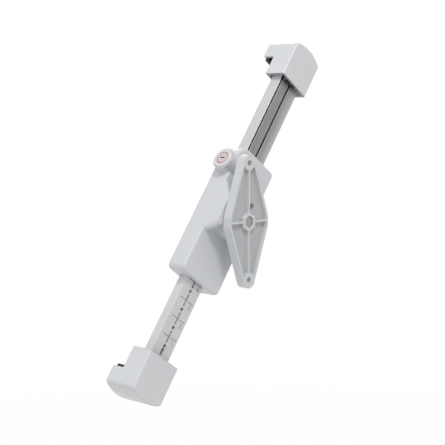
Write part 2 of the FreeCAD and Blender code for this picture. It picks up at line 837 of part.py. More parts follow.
def channel_arm():
    channel = Piece("upper_arm")
    half = size("channel_half_width")
    back, front = size("channel_back"), size("channel_front")
    wall = size("channel_wall")
    turn = size("channel_round")
    outer = channel.draw(-channel_low, "YZ_Plane").rounded(-half, back, half, front, [turn] * 4)
    length = channel_low + channel_high
    channel.pad(outer, length)
    hollow = channel.draw(-channel_low, "YZ_Plane")
    channel.pocket(hollow.rectangle(-half + wall, back + wall, half - wall, front - wall), length)
    slot = size("channel_slot") / 2
    mouth = channel.draw(-channel_low, "YZ_Plane").rectangle(-slot, back, slot, back + wall)
    channel.pocket(mouth, length)
    groove = channel.draw(-channel_low, "YZ_Plane")
    groove_start = size("channel_groove_inset") - half
    groove.rectangle(groove_start, back, groove_start + size("channel_groove"),
                     back + size("channel_groove_depth"))
    channel.pocket(groove, length)

    # The stop screw of the sliding bar runs in a closed slot in the tablet side
    reach = size("stop_radius") + size("arm_play")
    travel = channel.draw(front - wall)
    travel.rectangle(stop_rest - size("arm_out") - reach, -reach,
                     stop_rest + size("arm_in") + reach, reach)
    channel.pocket(travel, wall)
    # The push lock's bolt comes in from the side
    hole = channel.draw(half, "XZ_Plane")
    channel.pocket(hole.circle(lock_x, lock_bolt_depth, lock_bolt_hole), wall, True)
    for spread in (-1, 1):
        screw = channel.draw(front - wall)
        screw.circle(high_mouth + size("clamp_screw_reach"), size("clamp_screw_spread") * spread,
                     size("clamp_screw_radius"))
        channel.pocket(screw, wall)
    return finish(channel.body, holder_place)


def sliding_arm():
    bar = Piece("lower_arm")
    wall = size("arm_wall")
    top = size("arm_top")
    profile = bar.draw(-arm_low, "YZ_Plane").rectangle(-arm_half, arm_back, arm_half, arm_front)
    bar.pad(profile, arm_low + top)
    bar.soften(lambda point: near(abs(point.y), arm_half.value) and
               (near(point.z, arm_back.value) or near(point.z, arm_front.value)),
               size("arm_edge_break"), "Chamfer")
    # It is a tube, open at its inner end and solid where the clamp is screwed on
    solid_end = size("clamp_screw_reach") * 2 - arm_low
    hollow = bar.draw(solid_end, "YZ_Plane")
    hollow.rectangle(-arm_half + wall, arm_back + wall, arm_half - wall, arm_front - wall)
    bar.pocket(hollow, top - solid_end)

    pitch = size("hole_pitch")
    first = -size("first_hole") - size("holes_beyond_first") * pitch
    count = int(size("scale_holes").value)
    hole = bar.draw(arm_back).circle(first, 0, size("scale_hole_radius"))
    holes = bar.pocket(hole, wall)
    bar.repeat([holes], "X_Axis", pitch, count)
    long, wide = size("scale_slot_length") / 2, size("scale_slot_width") / 2
    middle = first + pitch / 2
    slot = bar.draw(arm_back).rectangle(middle - long, -wide, middle + long, wide)
    slots = bar.pocket(slot, wall)
    bar.repeat([slots], "X_Axis", pitch, count - 1)
    end_slot = bar.draw(arm_back)
    middle = size("end_slot_inset") - low_mouth
    long, wide = size("end_slot_length") / 2, size("end_slot_width") / 2
    bar.pocket(end_slot.rectangle(middle - long, -wide, middle + long, wide), wall)

    # Holes for the push lock's bolt, one for each setting of the length
    settings = int(round((size("arm_out").value + size("arm_in").value) / pitch.value)) + 1
    side = bar.draw(arm_half, "XZ_Plane")
    side.circle(lock_x - size("arm_in"), lock_bolt_depth, lock_bolt_hole)
    lock_holes = bar.pocket(side, wall, True)
    bar.repeat([lock_holes], "X_Axis", pitch, settings)

    stop_hole = bar.draw(arm_front - wall).circle(stop_rest, 0, size("stop_radius"))
    bar.pocket(stop_hole, wall)
    for spread in (-1, 1):
        screw = bar.draw(arm_back + wall)
        screw.circle(-low_mouth - size("clamp_screw_reach"), size("clamp_screw_spread") * spread,
                     size("clamp_screw_radius"))
        bar.pocket(screw, arm_front - arm_back)
    return finish(bar.body, holder_place)


def stop_screw():
    """A headless screw in the bar's tablet side. It runs in the closed slot of the channel."""
    foot = arm_front - size("arm_wall") - size("stop_screw_inside")
    key = size("stop_key_depth")
    screw = cylinder("stop_screw_pin", size("stop_radius"), foot, size("channel_front") - foot)
    screw.setExpression("Placement.Base.x", stop_rest.text)
    recess = prism("stop_screw_key", size("stop_radius"), size("channel_front") - key, key)
    recess.setExpression("Placement.Base.x", stop_rest.text)
    item = combine("Cut", "stop_screw", screw, recess)
    item.Label = "stop_screw"
    return finish(item, holder_place)


# Push lock: a cap and a barrel that slide in the socket, a bolt, and a plug that the key turns

cap_face = socket_mouth + size("lock_proud")
cap_floor = cap_face - size("lock_cap_wall")
barrel_end = rib_outer + size("lock_travel") + size("seat_play")
barrel_floor = barrel_end + size("barrel_floor")
cap_eye = size("key_plug_radius") + size("lock_play")


def along_lock(piece, reach):
    """A drawing square to the lock's axis, at this distance out from the arm's middle."""
    return piece.draw(reach, "XZ_Plane")


def lock_cap():
    cap = Piece("lock_cap")
    radius = size("lock_cap_radius")
    cap.pad(along_lock(cap, cap_face).circle(lock_x, lock_z, radius), cap_face - barrel_end, True)
    cap.soften(lambda point: near(point.y, -cap_face.value), size("lock_cap_break"), "Chamfer")
    inner = radius - size("lock_cap_wall")
    cap.pocket(along_lock(cap, cap_floor).circle(lock_x, lock_z, inner), cap_floor - barrel_end, True)
    cap.pocket(along_lock(cap, cap_face).circle(lock_x, lock_z, cap_eye), size("lock_cap_wall"), True)
    cap.pocket(band_outline(cap, size("screw_play")), size("band_sink"), True)
    return finish(cap.body, holder_place)


def band_outline(piece, play):
    """Two circles round the key plug, the room between them widened by the play."""
    inner = cap_eye + size("band_inset")
    drawing = along_lock(piece, cap_face).circle(lock_x, lock_z, inner + size("band_width") + play)
    return drawing.circle(lock_x, lock_z, inner - play)


def lock_ring():
    """The coloured band that is let into the cap round the key plug."""
    band = Piece("lock_ring")
    band.pad(band_outline(band, Size.of(0)), size("band_sink"), True)
    return finish(band.body, holder_place)


def lock_barrel():
    barrel = Piece("lock_barrel")
    outside = along_lock(barrel, cap_floor).circle(lock_x, lock_z, barrel_radius)
    barrel.pad(outside, cap_floor - barrel_end, True)
    eye = size("key_plug_radius") + size("lock_play") / 2
    barrel.pocket(along_lock(barrel, cap_floor).circle(lock_x, lock_z, eye),
                  cap_floor - barrel_floor, True)
    thread = along_lock(barrel, barrel_floor)
    thread.circle(lock_x, lock_bolt_depth, size("lock_bolt_radius"))
    barrel.pocket(thread, barrel_floor - barrel_end, True)
    return finish(barrel.body, holder_place)


def lock_bolt():
    """The pin that the push lock drives into the arm. Its tip rests just clear of the channel."""
    bolt = Piece("lock_bolt")
    drawing = along_lock(bolt, barrel_floor)
    drawing.circle(lock_x, lock_bolt_depth, size("lock_bolt_radius"))
    bolt.pad(drawing, barrel_floor - lock_bolt_tip, True)
    bolt.soften(lambda point: near(point.y, -lock_bolt_tip.value), size("lock_bolt_chamfer"), "Chamfer")
    return finish(bolt.body, holder_place)


def key_plug():
    plug = Piece("key_plug")
    foot = barrel_floor + size("seat_play")
    radius = size("key_plug_radius")
    plug.pad(along_lock(plug, cap_face).circle(lock_x, lock_z, radius), cap_face - foot, True)
    long, wide = size("key_slot_length") / 2, size("key_slot_width") / 2
    slot = along_lock(plug, cap_face)
    slot.rectangle(lock_x - wide, lock_z - long, lock_x + wide, lock_z + long)
    plug.pocket(slot, size("lock_travel"), True)
    return finish(plug.body, holder_place)


# Corner clamps: a moulded hook over the tablet's corner, its rubber liner and its screws

def clamp_outline(drawing, start, inset=0.0):
    """Straight sides and a bowed end, drawn in from the clamp's outside by the inset."""
    inset = Size.of(inset)
    half = size("clamp_half_width") - inset
    side_end = size("clamp_length") - inset
    arch = size("clamp_arch")
    radius = (half * half + arch * arch) / (arch * 2)
    spread = math.asin(half.value / radius.value)
    bow = drawing.arc(side_end + arch - radius, 0, radius, -spread, spread)
    drawing.limit("DistanceY", bow, 3, 0)
    drawing.radius(bow, radius)
    low = drawing.line((start, -half), (side_end, -half))
    high = drawing.line((side_end, half), (start, half))
    mouth = drawing.line((start, half), (start, -half))
    drawing.join("Coincident", low, bow)
    drawing.join("Coincident", bow, high)
    drawing.join("Coincident", high, mouth)
    drawing.join("Coincident", mouth, low)
    drawing.place(low, 1, start, -half)
    drawing.place(high, 2, start, half)
    drawing.place(low, 2, side_end, -half)
    drawing.limit("DistanceY", high, 1, half)
    return drawing


def clamp(label, half_turn, seat_half, seat_back, seat_front):
    shell = Piece(label)
    back, front = size("clamp_back"), size("clamp_front")
    half, wall = size("clamp_half_width"), size("clamp_wall")
    rest = size("tablet_back")
    hook = size("clamp_hook")
    shell.pad(clamp_outline(shell.draw(back), Size.of(0)), front - back)
    shell.soften(lambda point: near(point.x, size("clamp_length").value)
                 and near(abs(point.y), half.value), size("clamp_corner_round"))
    step = shell.draw(rest).rectangle(-1, -half - 1, hook, half + 1)
    shell.pocket(step, front - rest)
    shell.soften(lambda point: near(point.z, back.value) and point.x > 0.01, size("clamp_edge_round"))
    shell.soften(lambda point: near(point.z, front.value), size("clamp_edge_round"))

    cavity_deep = size("clamp_seat") + size("grip_play")
    arm_room = shell.draw(back + wall).rectangle(0, -half + wall, cavity_deep, half - wall)
    shell.pocket(arm_room, rest - back - wall * 2)
    hook_room = clamp_outline(shell.draw(rest), hook, wall)
    shell.pocket(hook_room, front - wall - rest)

    # Ribs in the arm's room bear on the arm from behind, from the sides and from the front
    rib = size("clamp_rib") / 2
    play = size("liner_gap")
    spread = size("clamp_rib_spread")
    for across in (-spread, Size.of(0), spread):
        fin = shell.draw(back + wall / 2).rectangle(rib * 2, across - rib, cavity_deep, across + rib)
        shell.pad(fin, seat_back - play - back - wall / 2)
    for along in (size("clamp_rib_near"), size("clamp_rib_far")):
        for side in (-1, 1):
            inside = (seat_half + play) * side
            outside = (half - wall / 2) * side
            low, high = sorted((inside, outside), key=float)
            fin = shell.draw(back + wall / 2).rectangle(along - rib, low, along + rib, high)
            shell.pad(fin, rest - back - wall)
    reach = size("clamp_screw_reach")
    head = size("clamp_screw_head") + size("seat_play")
    sink = size("clamp_screw_sink")
    for side in (-1, 1):
        across = size("clamp_screw_spread") * side
        boss = shell.draw(seat_front + play).circle(reach, across, head)
        shell.pad(boss, rest - wall / 2 - seat_front - play)
        hole = shell.draw(seat_front).circle(reach, across, size("clamp_screw_radius"))
        shell.pocket(hole, rest - seat_front)
        shell.pocket(shell.draw(rest - sink).circle(reach, across, head), sink)
    return finish(shell.body, clamp_place(low_mouth if half_turn else high_mouth, half_turn))


def clamp_liner(label, half_turn):
    """A rubber block that fills the hook, a little proud of its mouth and cut to the tablet's corner."""
    liner = Piece(label)
    gap = size("liner_gap")
    wall = size("clamp_wall") + gap
    rest = size("tablet_back")
    deep = size("clamp_front") - wall
    start = size("clamp_hook") - size("liner_proud")
    liner.pad(clamp_outline(liner.draw(rest + gap), start, wall), deep - rest - gap)

    # The corner's two edges leave the diagonal at the angles that the tablet's shape gives
    corner = (size("corner_depth"), Size.of(0))
    reach = 3 * size("clamp_half_width")
    level = (corner[0] - reach * math.cos(lean), -reach * math.sin(lean))
    upright = (corner[0] - reach * math.sin(lean), reach * math.cos(lean))
    wedge = liner.draw(rest + gap).outline([corner, upright, level])
    liner.pocket(wedge, size("tablet_thick") + gap)
    liner.soften(lambda point: near(point.x, corner[0].value) and near(point.y, 0),
                 size("tablet_corner_round"))
    return finish(liner.body, clamp_place(low_mouth if half_turn else high_mouth, half_turn))


def clamp_screws(label, half_turn, length):
    face = size("tablet_back") - size("screw_play")
    screws = [countersunk_screw(size("clamp_screw_reach"), size("clamp_screw_spread") * side, face,
                                size("clamp_screw_radius"), size("clamp_screw_head"),
                                size("clamp_head_depth"), length)
              for side in (-1, 1)]
    return group(label, screws, clamp_place(low_mouth if half_turn else high_mouth, half_turn))


wall_plate()
hub_bolt()
finish(ring("friction_ring", bolt_hole, size("friction_radius"), size("plate_depth"),
            size("friction_gap")), plate_place)
finish(ring("hub_washer", bolt_hole, size("washer_radius"), washer_seat, size("washer_thick")),
       plate_place)
disc_spring()
hub_nut()
rear_shell()
front_cover()
cover_screws()
tablet_pads()
channel_arm()
sliding_arm()
stop_screw()
lock_cap()
lock_ring()
lock_barrel()
lock_bolt()
key_plug()
clamp("upper_clamp", False, size("channel_half_width"), size("channel_back"), size("channel_front"))
clamp("lower_clamp", True, arm_half, arm_back, arm_front)
clamp_liner("upper_liner", False)
clamp_liner("lower_liner", True)
# The screws end in the channel's tablet-side wall at the top, and in the solid bar at the bottom
clamp_screws("upper_clamp_screws", False, size("tablet_back") - size("channel_front")
             + size("channel_wall") - size("seat_play"))
clamp_screws("lower_clamp_screws", True, size("tablet_back") - arm_front + size("clamp_screw_bite"))

doc.recompute()
for item in doc.Objects:
    if "Invalid" in item.State or "Error" in item.State:
        raise RuntimeError("%s could not be built" % item.Label)
for item in pieces:
    if item.Shape.isNull() or not item.Shape.isValid():
        raise RuntimeError("%s has no sound shape" % item.Label)

os.makedirs("parts", exist_ok=True)
for item in pieces:
    item.Shape.exportStep(os.path.join("parts", item.Label + ".step"))
    print("%-22s %2d solid(s) %9.1f mm3" % (item.Label, len(item.Shape.Solids), item.Shape.Volume))
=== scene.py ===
# %% [markdown]
# # A tablet wall mount
#
# The mount holds a tablet by two opposite corners. A ribbed plate is screwed to the wall, a hub turns
# on it, and the housing on the hub carries a telescoping arm with a clamp at each end.
# The solids come from the imported model, and this lesson gives them their finishes with some painted
# shade and highlights, adds the printed scale and the small things that a moulder or a machinist
# leaves behind, and lights the result.

# %% Load the imported model
import json
import math

import bmesh
import bpy
from mathutils import Matrix, Vector


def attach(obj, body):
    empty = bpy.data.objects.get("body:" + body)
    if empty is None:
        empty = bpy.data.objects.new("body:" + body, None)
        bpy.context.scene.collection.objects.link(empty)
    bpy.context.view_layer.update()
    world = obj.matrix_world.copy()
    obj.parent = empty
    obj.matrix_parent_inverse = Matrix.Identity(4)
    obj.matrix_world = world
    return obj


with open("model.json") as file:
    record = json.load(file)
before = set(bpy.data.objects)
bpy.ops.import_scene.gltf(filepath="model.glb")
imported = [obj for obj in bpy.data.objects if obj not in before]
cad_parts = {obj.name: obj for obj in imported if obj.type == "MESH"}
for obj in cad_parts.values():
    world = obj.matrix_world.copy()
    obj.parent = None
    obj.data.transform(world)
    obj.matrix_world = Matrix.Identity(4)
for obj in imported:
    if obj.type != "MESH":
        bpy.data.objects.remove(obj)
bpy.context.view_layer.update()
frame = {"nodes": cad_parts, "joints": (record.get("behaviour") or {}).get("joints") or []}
print("nodes:", len(frame["nodes"]))

# %% [markdown]
# The arm leans, so most pieces are easier to place in a frame that leans with it. Its first axis runs
# up along the arm, its second across it, and its third away from the wall. The joints of the packed
# model give all three, so nothing here has to be measured again.

# %% The arm's own frame
MM = 0.001
joints = {joint["name"]: joint for joint in frame["joints"]}
up_arm = -Vector(joints["arm_slide"]["axis"])
across = Vector(joints["lock_push"]["axis"])
from_wall = up_arm.cross(across)
arm_frame = Matrix((up_arm, across, from_wall)).transposed().to_4x4()


def arm_box(node):
    """A node's lowest and highest corner in the arm's frame."""
    inverse = arm_frame.inverted()
    points = [inverse @ vertex.co for vertex in frame["nodes"][node].data.vertices]
    low = Vector([min(point[axis] for point in points) for axis in range(3)])
    high = Vector([max(point[axis] for point in points) for axis in range(3)])
    return low, high


print("away from the wall:", [round(value, 3) for value in from_wall])

# %% [markdown]
# ## Effects that several finishes share
#
# A finish is more than a colour. Each effect below is a shader node group with named sockets, built
# once and placed in each material with its own values. These helpers add nodes and links, so that a
# material reads as a short list. Each takes plain numbers and colours or the sockets of other nodes.

# %% Helpers for single nodes
def rgba(colour):
    """Red, green and blue with a full alpha, as a colour socket wants them."""
    return (*colour[:3], 1.0)


def feed(tree, value, socket):
    """Links a node's output to an input, or writes a plain value into the input."""
    if isinstance(value, bpy.types.NodeSocket):
        tree.links.new(value, socket)
    elif socket.type == "RGBA":
        socket.default_value = rgba(value)
    else:
        socket.default_value = value


def add(tree, kind, **settings):
    """A node of this kind. Names with a capital are its inputs, the rest its properties."""
    node = tree.nodes.new(kind)
    for name, value in settings.items():
        if name[0].isupper():
            feed(tree, value, node.inputs[name.replace("_", " ")])
        else:
            setattr(node, name, value)
    return node


def vector_math(tree, operation, first, second=None):
    """A vector node whose first input, and second where one is given, are fed."""
    node = add(tree, "ShaderNodeVectorMath", operation=operation)
    feed(tree, first, node.inputs[0])
    if second is not None:
        feed(tree, second, node.inputs[1])
    return node


# %% Helpers for masks and mixes
def math_node(tree, operation, first, second=0.0):
    """The result of this operation on two values."""
    node = add(tree, "ShaderNodeMath", operation=operation)
    feed(tree, first, node.inputs[0])
    feed(tree, second, node.inputs[1])
    return node.outputs[0]


def blend_colour(tree, amount, low, high, mode="MIX"):
    """The low colour, carried over to the high one by this amount."""
    node = add(tree, "ShaderNodeMix", data_type="RGBA", blend_type=mode)
    sockets = {socket.identifier: socket for socket in (*node.inputs, *node.outputs)}
    feed(tree, amount, sockets["Factor_Float"])
    feed(tree, low, sockets["A_Color"])
    feed(tree, high, sockets["B_Color"])
    return sockets["Result_Color"]


def steps(tree, value, low, high, start=0.0, end=1.0):
    """The value carried from low..high over to start..end, and held at both ends."""
    node = add(tree, "ShaderNodeMapRange", Value=value, From_Min=low, From_Max=high,
               To_Min=start, To_Max=end)
    return node.outputs["Result"]


# %% Helper for node groups
FLOAT, COLOUR, VECTOR = "NodeSocketFloat", "NodeSocketColor", "NodeSocketVector"


def new_group(name, inputs, outputs):
    """An empty node group. Inputs are name: (socket type, default), outputs are name: socket type."""
    group = bpy.data.node_groups.new(name, "ShaderNodeTree")
    for label, (kind, default) in inputs.items():
        socket = group.interface.new_socket(label, in_out="INPUT", socket_type=kind)
        if default is not None:
            socket.default_value = default
    for label, kind in outputs.items():
        group.interface.new_socket(label, in_out="OUTPUT", socket_type=kind)
    return group, group.nodes.new("NodeGroupInput"), group.nodes.new("NodeGroupOutput")


# %% [markdown]
# The first effect only turns coordinates. Object coordinates are in metres along the room's axes. The
# drawn lines of the arm and the two tones of its faces follow the arm, so this group gives the same
# point in the arm's frame, in millimetres.

# %% Group: arm coordinates
arm_group, group_in, group_out = new_group("Arm coordinates", {}, {"Millimetres": VECTOR})
place = add(arm_group, "ShaderNodeTexCoord").outputs["Object"]
parts = [vector_math(arm_group, "DOT_PRODUCT", place, axis / MM).outputs["Value"]
         for axis in (up_arm, across, from_wall)]
together = add(arm_group, "ShaderNodeCombineXYZ", X=parts[0], Y=parts[1], Z=parts[2])
arm_group.links.new(together.outputs[0], group_out.inputs["Millimetres"])
print("made", arm_group.name)

# %% [markdown]
# Edges are never perfectly sharp. The Bevel node looks at the surface round each point and gives the
# normal that a small rounding would have, so that edges catch the light. Where that normal differs
# from the true one there is an edge, and the difference makes a mask for a painted sheen on plastic
# edges and for the dust on dark ones.

# %% Group: soft edges
edge_group, group_in, group_out = new_group(
    "Soft edges", {"Radius": (FLOAT, 0.3 * MM)}, {"Normal": VECTOR, "Edge": FLOAT})
bevel = add(edge_group, "ShaderNodeBevel", samples=6, Radius=group_in.outputs["Radius"])
true_normal = add(edge_group, "ShaderNodeNewGeometry").outputs["Normal"]
agreement = vector_math(edge_group, "DOT_PRODUCT", bevel.outputs["Normal"], true_normal)
edge_mask = steps(edge_group, agreement.outputs["Value"], 0.995, 0.80)
edge_group.links.new(bevel.outputs["Normal"], group_out.inputs["Normal"])
edge_group.links.new(edge_mask, group_out.inputs["Edge"])
print("made", edge_group.name)

# %% [markdown]
# A moulded face isn't plain: the mould was spark eroded, which leaves a fine even grain, the plastic
# cooled at different rates, which leaves broad faint patches, and hands leave it a little shinier here
# and there. Three noises at three scales do that. A noise's scale says how many of its spots fit in a
# metre.

# %% Group: moulded skin
PATCHES_TO_METRE = 38.0
FLECKS_TO_METRE = 900.0
BUMP_HEIGHT = 0.02 * MM

skin_group, group_in, group_out = new_group(
    "Moulded skin",
    {"Colour": (COLOUR, (0.7, 0.7, 0.7, 1.0)), "Patch": (COLOUR, (0.66, 0.66, 0.66, 1.0)),
     "Grain size": (FLOAT, 0.35), "Grain depth": (FLOAT, 0.25), "Gloss low": (FLOAT, 0.38),
     "Gloss high": (FLOAT, 0.52), "Normal": (VECTOR, None)},
    {"Colour": COLOUR, "Roughness": FLOAT, "Normal": VECTOR})
given = group_in.outputs
place = add(skin_group, "ShaderNodeTexCoord").outputs["Object"]
patches = add(skin_group, "ShaderNodeTexNoise", Vector=place, Scale=PATCHES_TO_METRE, Detail=3.0,
              Roughness=0.55).outputs["Fac"]
flecks = add(skin_group, "ShaderNodeTexNoise", Vector=place, Scale=FLECKS_TO_METRE, Detail=2.0)
grains_to_metre = math_node(skin_group, "DIVIDE", 1.0 / MM, given["Grain size"])
grain = add(skin_group, "ShaderNodeTexNoise", Vector=place, Scale=grains_to_metre, Detail=2.0,
            Roughness=0.6)
patch_mask = steps(skin_group, patches, 0.35, 0.68)
mottled = blend_colour(skin_group, patch_mask, given["Colour"], given["Patch"])
flecked = vector_math(skin_group, "SCALE", mottled)
feed(skin_group, steps(skin_group, flecks.outputs["Fac"], 0.30, 0.70, 0.975, 1.02),
     flecked.inputs["Scale"])
gloss = steps(skin_group, patches, 0.3, 0.7, given["Gloss low"], given["Gloss high"])
bump = add(skin_group, "ShaderNodeBump", Height=grain.outputs["Fac"], Distance=BUMP_HEIGHT,
           Strength=given["Grain depth"], Normal=given["Normal"])
skin_group.links.new(flecked.outputs[0], group_out.inputs["Colour"])
skin_group.links.new(gloss, group_out.inputs["Roughness"])
skin_group.links.new(bump.outputs["Normal"], group_out.inputs["Normal"])
print("made", skin_group.name)

# %% [markdown]
# Drawn and rolled metal carries fine lines all one way. Noise does that once its coordinates are
# squeezed: a long step along the lines, a short one across them. The vector comes in from outside, so
# that the arm can use its own frame and a screw the room's.

# %% Group: drawn lines
drawn_group, group_in, group_out = new_group(
    "Drawn lines",
    {"Vector": (VECTOR, None), "Stretch": (VECTOR, (0.02, 6.0, 6.0)), "Depth": (FLOAT, 0.3),
     "Gloss low": (FLOAT, 0.3), "Gloss high": (FLOAT, 0.45), "Normal": (VECTOR, None)},
    {"Tone": FLOAT, "Roughness": FLOAT, "Normal": VECTOR})
given = group_in.outputs
squeezed = vector_math(drawn_group, "MULTIPLY", given["Vector"], given["Stretch"]).outputs[0]
lines = add(drawn_group, "ShaderNodeTexNoise", Vector=squeezed, Scale=1.0, Detail=4.0,
            Roughness=0.65).outputs["Fac"]
gloss = steps(drawn_group, lines, 0.3, 0.7, given["Gloss low"], given["Gloss high"])
bump = add(drawn_group, "ShaderNodeBump", Height=lines, Distance=BUMP_HEIGHT,
           Strength=given["Depth"], Normal=given["Normal"])
drawn_group.links.new(lines, group_out.inputs["Tone"])
drawn_group.links.new(gloss, group_out.inputs["Roughness"])
drawn_group.links.new(bump.outputs["Normal"], group_out.inputs["Normal"])
print("made", drawn_group.name)


# %% [markdown]
# ## Finishes
#
# Each finish has its own function. The shader itself stays in the material, and numbers that are the
# same all over, such as a rubber's specular level, are set on its own sockets.

# %% Helpers for materials
def new_material(name, **constants):
    """A material's tree and its Principled shader, with these constant inputs set."""
    material = bpy.data.materials.new(name)
    material.use_nodes = True
    shader = material.node_tree.nodes["Principled BSDF"]
    for label, value in constants.items():
        shader.inputs[label.replace("_", " ")].default_value = value
    return material, material.node_tree, shader


def place_group(tree, group, **values):
    """The group as a node, with its inputs fed by name."""
    node = tree.nodes.new("ShaderNodeGroup")
    node.node_tree = group
    for name, value in values.items():
        feed(tree, value, node.inputs[name.replace("_", " ")])
    return node


def cover(tree, shader, colour, roughness, normal):
    """Links what changes over the surface to the shader."""
    tree.links.new(colour, shader.inputs["Base Color"])
    tree.links.new(roughness, shader.inputs["Roughness"])
    tree.links.new(normal, shader.inputs["Normal"])


def lighter(colour, share):
    """The colour moved towards white by this share."""
    return tuple(channel + (1 - channel) * share for channel in colour)


def darker(colour, share):
    """The colour with this share of its light."""
    return tuple(channel * share for channel in colour)


# %% [markdown]
# The body plastic is a cool light grey, satin, with a painted sheen, a lighter colour, on its edges.
# It covers the plate, the housing, the clamps, the bar and the lock's cap, each with its own tone,
# because pieces from different moulds never match exactly.

# %% Finish: moulded plastic
PATCH_SHARE = 0.965
# How far the painted sheen lightens the edges towards white
EDGE_SHEEN = 0.35
HOUSING_GREY = (0.69, 0.705, 0.73)
CAP_GREY = (0.73, 0.73, 0.755)


def moulded_plastic(name, colour, grain=0.35, edge_radius=0.35):
    """Satin plastic. The grain's size and the radius of its edges are in millimetres."""
    material, tree, shader = new_material(name, IOR=1.48, Specular_IOR_Level=0.42)
    edges = place_group(tree, edge_group, Radius=edge_radius * MM)
    skin = place_group(tree, skin_group, Colour=colour, Patch=darker(colour, PATCH_SHARE),
                       Grain_size=grain, Grain_depth=0.18, Gloss_low=0.27, Gloss_high=0.40,
                       Normal=edges.outputs["Normal"])
    # Painted sheen: the edges are lightened towards white
    sheen_mask = math_node(tree, "MULTIPLY", edges.outputs["Edge"], EDGE_SHEEN)
    sheened = blend_colour(tree, sheen_mask, skin.outputs["Colour"], lighter(colour, EDGE_SHEEN))
    cover(tree, shader, sheened, skin.outputs["Roughness"], skin.outputs["Normal"])
    return material


housing_plastic = moulded_plastic("housing_plastic", HOUSING_GREY)
cap_plastic = moulded_plastic("cap_plastic", CAP_GREY, grain=0.25)
print("made", housing_plastic.name, "and", cap_plastic.name)


# %% [markdown]
# Some plastic pieces have a second tone on a part of their surface. Their functions start from the
# moulded plastic, look up what feeds the colour of its shader, and put a mix in between.

# %% Helpers for a second tone
def skin_of(material):
    """The material's tree, its shader, and the socket that feeds the shader's colour."""
    shader = material.node_tree.nodes["Principled BSDF"]
    return material.node_tree, shader, shader.inputs["Base Color"].links[0].from_socket


def arm_point(tree):
    """X up along the arm, Y across it and Z away from the wall, in millimetres."""
    millimetres = place_group(tree, arm_group).outputs["Millimetres"]
    return add(tree, "ShaderNodeSeparateXYZ", Vector=millimetres)


# %% [markdown]
# The narrow end faces round each clamp's mouth get painted shade: darker than the skin, and striped
# across them. The mouth's plane is where the clamp's box ends towards the hub.

# %% Finish: clamps with painted shade at their mouths
CLAMP_GREY = (0.705, 0.72, 0.74)
# Painted shade at the mouths: the range of the shade's share, and the pitch of its stripes in mm
MOUTH_SHADE_SHARES = (0.416, 0.598)
SHADE_STRIPE_PITCH = 1.1


def sawn_plastic(name, mouth, side):
    """Moulded plastic with painted shade on the end faces at the mouth. Side says which way they face.
    """
    material = moulded_plastic(name, CLAMP_GREY, grain=0.3)
    tree, shader, skin_colour = skin_of(material)
    place = arm_point(tree)
    along = math_node(tree, "SUBTRACT", place.outputs["X"], mouth)
    past_mouth = math_node(tree, "MULTIPLY", along, side)
    # Painted shade on the end faces at the mouth, striped across them
    mouth_shade = steps(tree, past_mouth, -0.25, -0.1)
    turns = math_node(tree, "MULTIPLY", place.outputs["Y"], 2 * math.pi / SHADE_STRIPE_PITCH)
    marks = steps(tree, math_node(tree, "SINE", turns), -0.3, 0.3, *MOUTH_SHADE_SHARES)
    grey_marks = add(tree, "ShaderNodeCombineXYZ", X=marks, Y=marks, Z=marks)
    shaded_mouth = blend_colour(tree, 1.0, skin_colour, grey_marks.outputs[0], mode="MULTIPLY")
    tree.links.new(blend_colour(tree, mouth_shade, skin_colour, shaded_mouth), shader.inputs["Base Color"])
    return material


upper_plastic = sawn_plastic("upper_clamp_plastic", arm_box("upper_clamp")[0].x / MM, -1.0)
lower_plastic = sawn_plastic("lower_clamp_plastic", arm_box("lower_clamp")[1].x / MM, 1.0)
print("made", upper_plastic.name, "and", lower_plastic.name)

# %% [markdown]
# The plate is open to the wall, and the mould's cores reach down to its thin web. The web and the
# bottoms of the pockets get painted shade, a little darker than the rim and the ribs. How far a point
# is from the wall says which it is.

# %% Finish: ribbed plate
PLATE_GREY = (0.67, 0.685, 0.70)
PLATE_RECESS = 2.4 * MM
# Painted shade: the share of its tone that the sunk faces keep
WEB_SHADE = 0.76


def ribbed_plastic(name, colour):
    """Moulded plastic with painted shade: its sunk faces towards the wall keep a share of the rim's
    tone.
    """
    material = moulded_plastic(name, colour, edge_radius=0.45)
    tree, shader, skin_colour = skin_of(material)
    place = add(tree, "ShaderNodeTexCoord")
    point = add(tree, "ShaderNodeSeparateXYZ", Vector=place.outputs["Object"])
    normal = add(tree, "ShaderNodeSeparateXYZ", Vector=place.outputs["Normal"])
    sunk = steps(tree, point.outputs["Y"], -PLATE_RECESS * 0.4, -PLATE_RECESS * 0.8)
    to_wall = steps(tree, normal.outputs["Y"], 0.6, 0.9)
    web = math_node(tree, "MULTIPLY", sunk, to_wall)
    # Painted shade in the recess: the sunk faces are darkened to a share of their tone
    shaded = blend_colour(tree, web, skin_colour, (WEB_SHADE,) * 3, mode="MULTIPLY")
    tree.links.new(shaded, shader.inputs["Base Color"])
    return material


plate_plastic = ribbed_plastic("plate_plastic", PLATE_GREY)
print("made", plate_plastic.name)

# %% [markdown]
# The bar is the plastic of the housing, in a tone of its own. The stretch of it that never leaves the
# channel has a stripe of painted shade along its middle, which shows dark through the channel's slot.

# %% Finish: bar with painted shade under the slot
BAR_GREY = (0.675, 0.685, 0.70)
# The colour of the painted shade, and where its stripe lies, in millimetres
SLOT_SHADE = (0.13, 0.13, 0.135)
SLOT_SHADE_HALF_WIDTH = 1.6
SLOT_SHADE_FROM = 12.0


